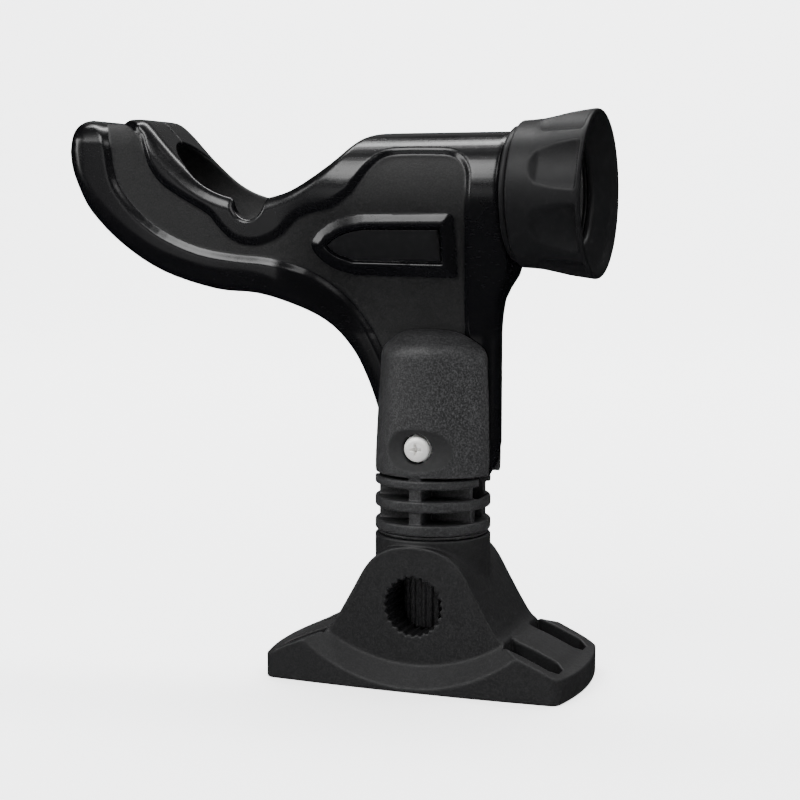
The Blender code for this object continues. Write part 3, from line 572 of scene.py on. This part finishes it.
def base_field(x, y, z):
    """Foot plate with ears, domed saddle faces, round neck and toothed sockets."""
    ax, ay = np.abs(x), np.abs(y)
    half_x, half_y = FOOT_HALF
    end_bow, side_bow = FOOT_BOW
    side = ay - half_y - np.maximum(side_bow * (1.0 - (x / half_x) ** 2), 0.0)
    end = ax - half_x - end_bow * (1.0 - (y / (half_y + side_bow)) ** 2)
    plan = both(side, end, 3.0)
    ear_points = [(70.0, 9.2), (65.6, 9.6), (60.5, 10.4), (55.0, 13.2), (46.0, 17.2), (38.5, 20.2)]
    ears = curve([*ear_points, (33.0, EAR_TOP)], 3)
    foot = both(plan, outline_field(ax, z, [(70.0, 0.0), *ears, (-5.0, EAR_TOP), (-5.0, 0.0)]), 0.8)
    outward = np.maximum(ay - SADDLE_HALF, 0.0)
    cove_r = COVE_R[0] + (COVE_R[1] - COVE_R[0]) * np.minimum(outward / COVE_DEPTH, 1.4)
    cove_cut = np.maximum((np.hypot(x, z - COVE_Z) - cove_r) * STEEP_SHARE, COVE_WALL - ay)
    foot = without(foot, cove_cut, 0.6)

    flank = [(36.8, 20.0), (32.0, 27.5), (28.5, 33.5), (25.0, 39.7), (21.5, 46.0), (18.0, 50.6)]
    dome = [(13.5, 54.0), (7.5, 56.3), (0.0, SADDLE_TOP)]
    front_view = curve([(44.0, 5.0), (41.5, 14.0), *flank, *dome], 3)
    saddle_2d = outline_field(ax, z, [*front_view, (-5.0, SADDLE_TOP), (-5.0, 5.0)])
    saddle = both(saddle_2d, ay - SADDLE_HALF, 0.9)
    neck = both(np.hypot(x, y) - NECK_R, slab(z, 10.0, 59.1), 0.7)
    base = either(either(foot, saddle, 0.6), neck, 0.8)

    recess_points = [(37.8, 12.6), (56.0, 12.6), (59.2, 16.0), (59.2, 22.0), (56.0, 25.4), (37.8, 25.4)]
    recess = np.maximum(outline_field(ax, ay, recess_points), 5.0 - z)
    base = without(base, recess, 0.7)
    slot = np.hypot(np.maximum(np.abs(ax - SLOT_CENTRE[0]) - SLOT_RUN, 0.0), ay - SLOT_CENTRE[1]) - SLOT_R
    base = without(base, slot, 0.4)
    core = box_field(ax, ay, z, (14.0, 4.0, -5.0), (33.0, 20.0, 12.0), 1.0)
    base = without(base, core, 0.4)
    upright = np.maximum(star_field(x, y, SOCKET_TEETH), 19.0 - z)
    level = star_field(x, z - SOCKET_Z, SOCKET_TEETH)
    return without(without(base, upright, 0.4), level, 0.6)


def collar_field(x, y, z):
    """Screw collar: plain skirt, scalloped grip and funnel mouth."""
    up = z - ROD_Z
    rho = np.hypot(y, up)
    skirt = [(37.75, 28.2), (38.2, 28.7), (42.0, 28.9), (46.4, 29.3)]
    flare = [(50.0, 30.0), (57.0, 31.5), (63.0, 32.4)]
    rim = [(66.2, 32.8), (67.0, 32.8), (67.6, 32.6), (67.95, 32.1), (68.0, 31.5), (67.8, 31.0)]
    funnel = [(67.2, 30.2), (65.6, 28.2), (63.8, 25.4), (62.0, 22.6), (60.6, 20.6), (59.8, 20.0)]
    inside = [(58.0, 20.0), (58.0, 24.8), (37.75, 24.8)]
    body = outline_field(x, rho, [*skirt, *flare, *rim, *funnel, *inside])
    pitch = 2 * math.pi / SCALLOPS
    turn = np.arctan2(y, up) + math.radians(SCALLOP_TURN)
    offset = ((turn / pitch) % 1.0 - 0.5) * pitch
    across, out = rho * np.sin(offset), rho * np.cos(offset)
    dip = SCALLOP_DIP * smoothstep(x, *SCALLOP_START_X)
    floor_r = SCALLOP_START_R - dip + SCALLOP_RISE * (x - 47.0)
    scallop = np.hypot(across, out - floor_r - SCALLOP_R) - SCALLOP_R
    scoop = both(scallop, slab(x, *SCALLOP_X), 1.2)
    return without(body, scoop, 0.45)


def screw_field(x, y, z):
    """Pan head with a cross recess, and the shank behind it."""
    up = z - PIVOT_Z
    rho = np.hypot(x, up)
    crown = curve([(HEAD_R, -20.0), (4.95, -20.7), (4.3, -21.35), (3.0, -21.85), (0.0, -22.0)], 3)
    under = [(0.0, -18.6), (HEAD_R, -18.6)]
    screw = outline_field(rho, y, [*under, *crown, (-2.0, -22.0), (-2.0, -18.6)])
    screw = np.minimum(screw, np.maximum(rho - 3.0, slab(y, -19.0, 20.4)))
    taper = 0.12 * (y + 22.0)
    bar_a = np.maximum(np.abs(x) - 2.5 + taper * 4.0, np.abs(up) - 0.62 + taper)
    bar_b = np.maximum(np.abs(up) - 2.5 + taper * 4.0, np.abs(x) - 0.62 + taper)
    core = rho - 1.25 + taper * 3.0
    cross = np.maximum(np.minimum(np.minimum(bar_a, bar_b), core), y + 19.6)
    return without(screw, cross, 0.14)


# Materials


def new_material(name, colour, roughness, specular=0.5, metallic=0.0):
    """A Principled material, its node tree and its shader."""
    material = bpy.data.materials.new(name)
    material.use_nodes = True
    shader = material.node_tree.nodes["Principled BSDF"]
    shader.inputs["Base Color"].default_value = (*colour, 1.0)
    shader.inputs["Roughness"].default_value = roughness
    shader.inputs["Specular IOR Level"].default_value = specular
    shader.inputs["Metallic"].default_value = metallic
    return material, material.node_tree, shader


def add(tree, kind, **values):
    """A node with the given settings, and inputs given by name with underscores for spaces."""
    node = tree.nodes.new(kind)
    for key, value in values.items():
        if hasattr(node, key):
            setattr(node, key, value)
        else:
            node.inputs[key.replace("_", " ")].default_value = value
    return node


def noise(tree, scale, detail=3.0, roughness=0.55, stretch=(1.0, 1.0, 1.0)):
    """Noise in the piece's own frame, with scale in features per metre."""
    coordinates = tree.nodes.new("ShaderNodeTexCoord")
    mapping = add(tree, "ShaderNodeMapping", Scale=stretch)
    tree.links.new(coordinates.outputs["Object"], mapping.inputs["Vector"])
    node = add(tree, "ShaderNodeTexNoise", Scale=scale, Detail=detail, Roughness=roughness)
    tree.links.new(mapping.outputs["Vector"], node.inputs["Vector"])
    return node.outputs["Fac"]


def ramp(tree, source, low, high, start, end):
    """A number that goes from start to end while source goes from low to high."""
    node = add(tree, "ShaderNodeMapRange", From_Min=low, From_Max=high, To_Min=start, To_Max=end)
    tree.links.new(source, node.inputs["Value"])
    return node.outputs["Result"]


def mix_colour(tree, share, first, second):
    """A colour between two, by a share from 0 to 1."""
    node = add(tree, "ShaderNodeMix", data_type="RGBA")
    tree.links.new(share, node.inputs["Factor"])
    for socket_in in node.inputs:
        if socket_in.type == "RGBA" and socket_in.name == "A":
            socket_in.default_value = (*first, 1.0)
        if socket_in.type == "RGBA" and socket_in.name == "B":
            socket_in.default_value = (*second, 1.0)
    return next(s for s in node.outputs if s.type == "RGBA")


def bump(tree, shader, height, strength, distance, base=None):
    """A bump on the shader's normal, on top of another where one is given."""
    node = add(tree, "ShaderNodeBump", Strength=strength, Distance=distance)
    tree.links.new(height, node.inputs["Height"])
    if base is not None:
        tree.links.new(base.outputs["Normal"], node.inputs["Normal"])
    tree.links.new(node.outputs["Normal"], shader.inputs["Normal"])
    return node


def math_node(tree, operation, a, b):
    """A sum, product or other step between two sockets or numbers."""
    node = add(tree, "ShaderNodeMath", operation=operation)
    for value, socket in zip((a, b), node.inputs):
        if isinstance(value, (int, float)):
            socket.default_value = value
        else:
            tree.links.new(value, socket)
    return node.outputs["Value"]


def moulded_plastic(name, dark, light, roughness, grain=1.0):
    """Matte moulded plastic with a spark-eroded grain; dull, plain and darker where "recess" is 1, partly
    as the plain ungrained surface and partly as painted shade in the scoop.
    """
    material, tree, shader = new_material(name, dark, roughness, 0.4)
    recess = add(tree, "ShaderNodeAttribute", attribute_name="recess").outputs["Fac"]
    grained = math_node(tree, "SUBTRACT", 1.0, recess)
    fine = noise(tree, 1500.0, 3.0, 0.6)
    coarse = noise(tree, 420.0, 2.0)
    broad = noise(tree, 22.0, 3.0)
    patches = ramp(tree, broad, 0.3, 0.7, 0.6, 1.0)
    speck = math_node(tree, "MULTIPLY", ramp(tree, fine, 0.42, 0.68, 0.0, 1.0), patches)
    # Painted shade: where "recess" is 1 the light specks drop out, so the scoop and seat around the screw
    # come out darker.
    speck = math_node(tree, "MULTIPLY", speck, grained)
    tree.links.new(mix_colour(tree, speck, dark, light), shader.inputs["Base Color"])
    mottle = math_node(
        tree,
        "ADD",
        ramp(tree, coarse, 0.3, 0.7, -0.05, 0.05),
        ramp(tree, broad, 0.3, 0.7, roughness - 0.04, roughness + 0.04),
    )
    rough = math_node(tree, "ADD", mottle, math_node(tree, "MULTIPLY", recess, 0.2))
    tree.links.new(rough, shader.inputs["Roughness"])
    first = bump(tree, shader, math_node(tree, "MULTIPLY", fine, grained), 0.5 * grain, 0.0002)
    bump(tree, shader, math_node(tree, "MULTIPLY", coarse, grained), 0.25 * grain, 0.0004, first)
    return material


def shell_plastic():
    """Glossy body plastic, with the moulded-in grain of its panels where the mask says so."""
    dark, light = (0.0016, 0.0016, 0.002), (0.007, 0.007, 0.007)
    material, tree, shader = new_material("shell_plastic", dark, 0.24, 0.42)
    mask = add(tree, "ShaderNodeAttribute", attribute_name="panel").outputs["Fac"]
    fine = noise(tree, 1500.0, 3.0, 0.62)
    broad = noise(tree, 30.0, 3.0)
    scuff = noise(tree, 260.0, 4.0, 0.7, (1.0, 1.0, 3.0))
    speck = math_node(tree, "MULTIPLY", ramp(tree, fine, 0.42, 0.66, 0.0, 1.0), mask)
    tree.links.new(mix_colour(tree, speck, dark, light), shader.inputs["Base Color"])
    marks = ramp(tree, scuff, 0.55, 0.8, 0.0, 0.08)
    gloss = math_node(tree, "ADD", ramp(tree, broad, 0.3, 0.7, 0.20, 0.28), marks)
    rough = math_node(tree, "ADD", gloss, math_node(tree, "MULTIPLY", mask, 0.4))
    tree.links.new(rough, shader.inputs["Roughness"])
    grain = math_node(tree, "MULTIPLY", fine, mask)
    first = bump(tree, shader, grain, 0.8, 0.0003)
    bump(tree, shader, broad, 0.06, 0.002, first)
    return material


def satin_plastic():
    """Satin collar plastic with light handling marks."""
    dark, light = (0.003, 0.003, 0.0035), (0.008, 0.008, 0.008)
    material, tree, shader = new_material("satin_plastic", dark, 0.46, 0.24)
    broad = noise(tree, 40.0, 3.0)
    scuff = noise(tree, 300.0, 4.0, 0.7, (3.0, 1.0, 1.0))
    marks = ramp(tree, scuff, 0.55, 0.8, 0.0, 1.0)
    tree.links.new(mix_colour(tree, marks, dark, light), shader.inputs["Base Color"])
    haze = ramp(tree, scuff, 0.5, 0.8, 0.0, 0.12)
    rough = math_node(tree, "ADD", ramp(tree, broad, 0.3, 0.7, 0.42, 0.5), haze)
    tree.links.new(rough, shader.inputs["Roughness"])
    bump(tree, shader, noise(tree, 900.0, 3.0), 0.10, 0.0002)
    return material


def rubber():
    """Soft black rubber with a chalky bloom."""
    dark, light = (0.013, 0.013, 0.013), (0.04, 0.04, 0.038)
    material, tree, shader = new_material("soft_rubber", dark, 0.78, 0.3)
    bloom = ramp(tree, noise(tree, 90.0, 4.0), 0.45, 0.75, 0.0, 1.0)
    tree.links.new(mix_colour(tree, bloom, dark, light), shader.inputs["Base Color"])
    tree.links.new(ramp(tree, bloom, 0.0, 1.0, 0.7, 0.88), shader.inputs["Roughness"])
    bump(tree, shader, noise(tree, 1400.0, 2.0), 0.3, 0.0002)
    return material


def nylon():
    """Natural nylon, slightly yellowed."""
    pale, yellowed = (0.62, 0.60, 0.55), (0.52, 0.49, 0.42)
    material, tree, shader = new_material("nylon", pale, 0.45, 0.5)
    tint = ramp(tree, noise(tree, 60.0, 3.0), 0.35, 0.7, 0.0, 1.0)
    tree.links.new(mix_colour(tree, tint, pale, yellowed), shader.inputs["Base Color"])
    tree.links.new(ramp(tree, tint, 0.0, 1.0, 0.38, 0.55), shader.inputs["Roughness"])
    bump(tree, shader, noise(tree, 1100.0, 2.0), 0.15, 0.0002)
    return material


def steel():
    """Bright stainless steel with fine turning marks and handling haze."""
    bright, hazed = (0.90, 0.89, 0.87), (0.74, 0.73, 0.70)
    material, tree, shader = new_material("stainless_steel", bright, 0.5, 0.5, 0.7)
    haze = ramp(tree, noise(tree, 380.0, 4.0, 0.7), 0.35, 0.75, 0.0, 1.0)
    tree.links.new(mix_colour(tree, haze, bright, hazed), shader.inputs["Base Color"])
    tree.links.new(ramp(tree, haze, 0.0, 1.0, 0.42, 0.58), shader.inputs["Roughness"])
    bump(tree, shader, noise(tree, 2600.0, 2.0, 0.6, (1.0, 0.2, 1.0)), 0.12, 0.0001)
    return material


# Pieces


def lathe(name, profile, centre, axis="Y", steps=96):
    """A closed profile of (radius, place along the axis), in millimetres, turned about an axis."""
    verts, faces = [], []
    count = len(profile)
    for i in range(steps):
        angle = 2 * math.pi * i / steps
        c, s = math.cos(angle), math.sin(angle)
        for radius, along in profile:
            across, out = radius * c, radius * s
            point = {"X": (along, across, out), "Y": (across, along, out), "Z": (across, out, along)}[axis]
            verts.append([(p + q) * MM for p, q in zip(point, centre)])
    for i in range(steps):
        for j in range(count):
            a, b = i * count + j, i * count + (j + 1) % count
            c, d = ((i + 1) % steps) * count + (j + 1) % count, ((i + 1) % steps) * count + j
            faces.append((a, b, c, d))
    mesh = bpy.data.meshes.new(name)
    mesh.from_pydata(verts, [], faces)
    mesh.validate()
    obj = bpy.data.objects.new(name, mesh)
    bpy.context.scene.collection.objects.link(obj)
    face_out(obj)
    mesh.shade_smooth()
    mesh.set_sharp_from_angle(angle=math.radians(50))
    return obj


def face_out(obj):
    """Turns the mesh's faces outward."""
    shape = bmesh.new()
    shape.from_mesh(obj.data)
    bmesh.ops.recalc_face_normals(shape, faces=shape.faces)
    shape.to_mesh(obj.data)
    shape.free()


def ring_profile(inner, outer, low, high, edge=0.15):
    """Section of a flat ring with eased edges."""
    return [
        *[(inner + edge, low), (outer - edge, low), (outer, low + edge), (outer, high - edge)],
        *[(outer - edge, high), (inner + edge, high), (inner, high - edge), (inner, low + edge)],
    ]


def place(piece, body, slot, material, *nodes):
    """Gives the piece its body and material, and hides the CAD nodes that it stands for."""
    piece.data.materials.clear()
    piece.data.materials.append(material)
    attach(piece, body)
    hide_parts(*nodes)
    return piece


def shaped(name, field, low, high, step, faces):
    return thinned(surface(name, field, low, high, step * (1.0)), faces)


moulded = moulded_plastic("moulded_plastic", (0.007, 0.007, 0.0074), (0.032, 0.032, 0.033), 0.5)
foot_plastic = moulded_plastic("foot_plastic", (0.0045, 0.0045, 0.0049), (0.012, 0.012, 0.0125), 0.55, 0.7)
shell = shell_plastic()
satin = satin_plastic()
black_rubber = rubber()
white_nylon = nylon()
bright_steel = steel()


def texture_mask(x, y, z):
    """Where the shell carries its moulded grain: in the bore, and on the panel around the boss."""
    grained = smoothstep(-panel_chart(x, z), 2.2, 3.2)
    clear_of_boss = 1.0 - smoothstep(boss_depth(x, z), 0.0, 0.5)
    depth = -outer_field(x, y, z)
    panel = grained * clear_of_boss * (1.0 - smoothstep(depth, PANEL_DEPTH + 0.4, PANEL_DEPTH + 1.2))
    return np.maximum(panel, 1.0 - smoothstep(np.abs(bore_field(x, y, z)), 0.2, 0.8))


for name, field, y_low, y_high, node in (
    ("holder_front_look", front_shell_field, -25.0, 0.4, "holder_front_shell"),
    ("holder_rear_look", rear_shell_field, -0.4, 25.0, "holder_rear_shell"),
):
    half_shell = shaped(name, field, (-161.0, y_low, 73.0), (35.2, y_high, 228.5), 0.6, 190000)
    paint_mask(half_shell, "panel", texture_mask)
    place(half_shell, "holder", "gloss_black", shell, node)


def badge_field(x, y, z):
    """Domed plate in the trough of the boss."""
    inset = boss_chart(x, z) + TROUGH_WALL[1] + 0.1
    depth = -outer_field(x, y, z)
    across = np.clip(-inset / 6.0, 0.0, 1.0)
    top = 0.1 - 0.8 * (1.0 - (1.0 - across) ** 2)
    plate = both(top - depth, depth - (TROUGH_DEPTH - 0.3), 0.2)
    return both(plate, inset, 0.3)


for name, y_low, y_high, node in (
    ("badge_front_look", -24.5, -8.0, "badge_front"),
    ("badge_rear_look", 8.0, 24.5, "badge_rear"),
):
    badge = shaped(name, badge_field, (-46.0, y_low, 160.0), (17.0, y_high, 190.0), 0.35, 30000)
    place(badge, "holder", "gloss_black", satin, node)


def plain_shaded_scoop_mask(x, y, z):
    """Where the post is plain and darker, partly as painted shade: in the scoop and the seat around the
    screw.
    """
    seat = np.hypot(x, z - PIVOT_Z) - HEAD_SEAT_R
    return 1.0 - smoothstep(np.minimum(eye_field(np.abs(y), z), seat), 0.0, 0.4)


post = shaped("post_look", post_field, (-25.0, -25.0, 20.8), (28.8, 25.0, 142.9), 0.6, 150000)
paint_mask(post, "recess", plain_shaded_scoop_mask)
place(post, "post", "moulded_matte", moulded, "post_yoke")
base = shaped("base_look", base_field, (-66.0, -33.5, -0.2), (66.0, 33.5, 59.6), 0.6, 150000)
place(base, "base", "moulded_matte", foot_plastic, "base")
collar = shaped("collar_look", collar_field, (37.4, -33.2, 162.3), (68.4, 33.2, 228.7), 0.5, 120000)
place(collar, "collar", "satin_black", satin, "clamp_collar")
screw = shaped("pivot_screw_look", screw_field, (-5.4, -22.2, 90.1), (5.4, 20.6, 100.9), 0.16, 60000)
place(screw, "post", "stainless", bright_steel, "pivot_screw")


def turned(node, profile, centre, axis, body, slot, material):
    """A turned piece, named for the CAD node that it stands for."""
    place(lathe(f"{node}_look", profile, centre, axis), body, slot, material, node)


ORIGIN = (0.0, 0.0, 0.0)
PIVOT = (0.0, 0.0, PIVOT_Z)
ROD = (0.0, 0.0, ROD_Z)
tube_profile = [
    *[(19.0, 16.8), (19.3, 16.5), (21.0, 16.5), (21.0, 28.0), (22.4, 28.0), (22.4, 31.0), (21.0, 31.0)],
    *[(21.0, 34.8), (26.2, 34.8), (26.6, 35.2), (26.6, 36.9), (26.2, 37.3), (24.4, 37.3), (24.4, 55.6)],
    *[(24.0, 56.0), (22.2, 56.0), (22.2, 48.0), (19.0, 48.0)],
]
gland_profile = [(18.9, 48.3), (21.9, 48.3), (21.9, 56.0), (21.2, 56.3), (20.2, 55.9), (18.9, 54.0)]
slip_profile = ring_profile(20.2, 24.3, 56.6, 57.7)
swivel_profile = ring_profile(13.5, 22.3, 59.4, 60.6, 0.25)
front_washer = ring_profile(SCREW_HOLE_R, 5.6, -18.3, -17.3)
rear_washer = ring_profile(SCREW_HOLE_R, 4.9, 14.3, 15.3)
bushing = ring_profile(SCREW_HOLE_R, 4.8, -6.9, 6.9)
front_disc = ring_profile(BUSHING_HOLE_R, 11.7, -7.0, -5.7)
rear_disc = ring_profile(BUSHING_HOLE_R, 11.7, 5.7, 7.0)
o_ring = arc((9.8, 50.0), 0.9, 0, 345, 23)

turned("rod_tube", tube_profile, ROD, "X", "holder", "moulded_matte", satin)
turned("gland_ring", gland_profile, ROD, "X", "holder", "rubber_black", black_rubber)
turned("thrust_washer", slip_profile, ROD, "X", "slip", "satin_black", satin)
turned("swivel_ring", swivel_profile, ORIGIN, "Z", "ring", "moulded_matte", moulded)
turned("pivot_washer_front", front_washer, PIVOT, "Y", "post", "stainless", bright_steel)
turned("pivot_washer_rear", rear_washer, PIVOT, "Y", "post", "stainless", bright_steel)
turned("pivot_bushing", bushing, PIVOT, "Y", "holder", "nylon_white", white_nylon)
turned("friction_disc_front", front_disc, PIVOT, "Y", "holder", "rubber_black", black_rubber)
turned("friction_disc_rear", rear_disc, PIVOT, "Y", "holder", "rubber_black", black_rubber)
turned("stub_o_ring", o_ring, ORIGIN, "Z", "post", "rubber_black", black_rubber)


def nut_field(x, y, z):
    """Hexagon nut with chamfered corners."""
    up = z - PIVOT_Z
    rho = np.hypot(x, up)
    nut = both(hexagon_field(x, up, NUT_HALF), slab(y, 15.6, 21.0), 0.15)
    chamfer = (rho - 5.1 + (y - 20.4) * 1.6) * 0.53
    nut = both(nut, chamfer, 0.1)
    bore = rho - SCREW_HOLE_R - np.maximum(y - 20.4, 0.0) * 0.8
    return without(nut, bore, 0.1)


nut = shaped("pivot_nut_look", nut_field, (-6.2, 15.4, 89.0), (6.2, 21.2, 102.0), 0.2, 40000)
place(nut, "post", "stainless", bright_steel, "pivot_nut")


def shell_screw_field(centre_x, centre_z, seat, tip):
    """A field of a pan head with a cross recess, on a shank that bites into the front shell."""

    def field(x, y, z):
        across, up = x - centre_x, z - centre_z
        rho = np.hypot(across, up)
        dome = np.hypot(rho, y - seat + 3.4) - 5.6
        head = both(both(rho - 3.6, seat - y, 0.1), dome, 0.5)
        shank = np.maximum(rho - 1.55, slab(y, tip, seat + 0.5))
        bars = np.minimum(
            np.maximum(np.abs(across) - 1.7, np.abs(up) - 0.42),
            np.maximum(np.abs(up) - 1.7, np.abs(across) - 0.42),
        )
        return without(np.minimum(head, shank), np.maximum(bars, seat + 0.7 - y), 0.1)

    return field


for number, (centre_x, centre_z, half) in enumerate(SHELL_SCREWS, start=1):
    seat = half - SHELL_SCREW_SINK + 0.3
    tip = -min(half - 2.0, 12.0) + 0.3
    low = (centre_x - 4.0, tip - 0.3, centre_z - 4.0)
    high = (centre_x + 4.0, seat + 2.6, centre_z + 4.0)
    field = shell_screw_field(centre_x, centre_z, seat, tip)
    piece = shaped(f"shell_screw_{number}_look", field, low, high, 0.2, 16000)
    place(piece, "holder", "stainless", bright_steel, f"shell_screw_{number}")


# Floor, light and camera


def floor_material():
    """Plain pale backdrop paper that glows a little, so that the object's shadow stays faint."""
    cool, neutral = (0.89, 0.895, 0.90), (0.915, 0.915, 0.915)
    material, tree, shader = new_material("backdrop_paper", cool, 0.85, 0.1)
    tone = ramp(tree, noise(tree, 5.0, 2.0), 0.3, 0.7, 0.0, 1.0)
    tree.links.new(mix_colour(tree, tone, cool, neutral), shader.inputs["Base Color"])
    bump(tree, shader, noise(tree, 900.0, 2.0), 0.05, 0.0005)
    shader.inputs["Emission Color"].default_value = (1.0, 1.0, 1.0, 1.0)
    shader.inputs["Emission Strength"].default_value = 1.8
    return material


def backdrop():
    """One sheet that runs over the floor and sweeps up far behind, and doesn't show in the gloss."""
    sweep = [(-3.0, 0.0), (1.4, 0.0)]
    sweep += [(1.4 + 0.8 * math.sin(t), 0.8 - 0.8 * math.cos(t)) for t in np.linspace(0.1, math.pi / 2, 16)]
    sweep += [(2.2, 4.0)]
    verts, faces = [], []
    for y, z in sweep:
        verts += [(-4.0, y, z), (4.0, y, z)]
    for i in range(len(sweep) - 1):
        faces.append((2 * i, 2 * i + 1, 2 * i + 3, 2 * i + 2))
    mesh = bpy.data.meshes.new("backdrop")
    mesh.from_pydata(verts, [], faces)
    mesh.shade_smooth()
    sheet = bpy.data.objects.new("backdrop", mesh)
    bpy.context.scene.collection.objects.link(sheet)
    sheet.rotation_euler = (0.0, 0.0, math.radians(20.0))
    sheet.visible_glossy = False
    mesh.materials.append(floor_material())


def softbox(name, position, aim, size, power):
    """A rectangular area light that looks at aim."""
    data = bpy.data.lights.new(name, "AREA")
    data.shape = "RECTANGLE"
    data.size, data.size_y = size
    data.energy = power
    lamp = bpy.data.objects.new(name, data)
    lamp.location = position
    lamp.rotation_euler = (Vector(aim) - Vector(position)).to_track_quat("-Z", "Y").to_euler()
    bpy.context.scene.collection.objects.link(lamp)


TARGET = (-0.03, 0.0, 0.13)
SOFTBOXES = (
    ("key", (-0.42, -0.80, 1.00), (0.42, 0.75), 10.0),
    ("key_right", (0.64, -0.39, 1.15), (0.35, 0.5), 1.6),
    ("front_right", (0.55, -0.82, 0.95), (0.5, 0.4), 2.4),
    ("overhead", (-0.1, 0.1, 1.3), (1.0, 0.6), 0.35),
    ("left", (-1.0, -0.5, 0.5), (0.3, 0.6), 4.0),
    ("right", (1.05, -0.35, 0.45), (0.25, 0.6), 1.2),
    ("rear", (-0.5, 1.1, 0.85), (1.2, 0.5), 0.45),
    ("front_low", (-0.5, -1.3, 0.26), (0.6, 0.35), 0.8),
)

backdrop()
for name, position, size, power in SOFTBOXES:
    softbox(name, position, TARGET, size, power)
softbox("backdrop_glow", (0.0, 0.7, 1.9), (-0.3, 1.9, 0.1), (2.4, 0.6), 75.0)

# The sky fills the shadows but, like the backdrop, leaves the gloss black between the softboxes
world = bpy.data.worlds.new("studio")
bpy.context.scene.world = world
world.use_nodes = True
world.cycles_visibility.glossy = False
sky = world.node_tree.nodes["Background"]
sky.inputs["Color"].default_value = (0.95, 0.97, 1.0, 1.0)
sky.inputs["Strength"].default_value = 0.95

camera_data = bpy.data.cameras.new("camera")
camera_data.lens = 75.0
camera_data.sensor_width = 36.0
camera = bpy.data.objects.new("camera", camera_data)
camera.location = (0.21906, -0.63451, 0.18924)
camera.rotation_euler = (math.radians(90.0 - 6.49), 0.0, math.radians(20.197))
bpy.context.scene.collection.objects.link(camera)
bpy.context.scene.camera = camera
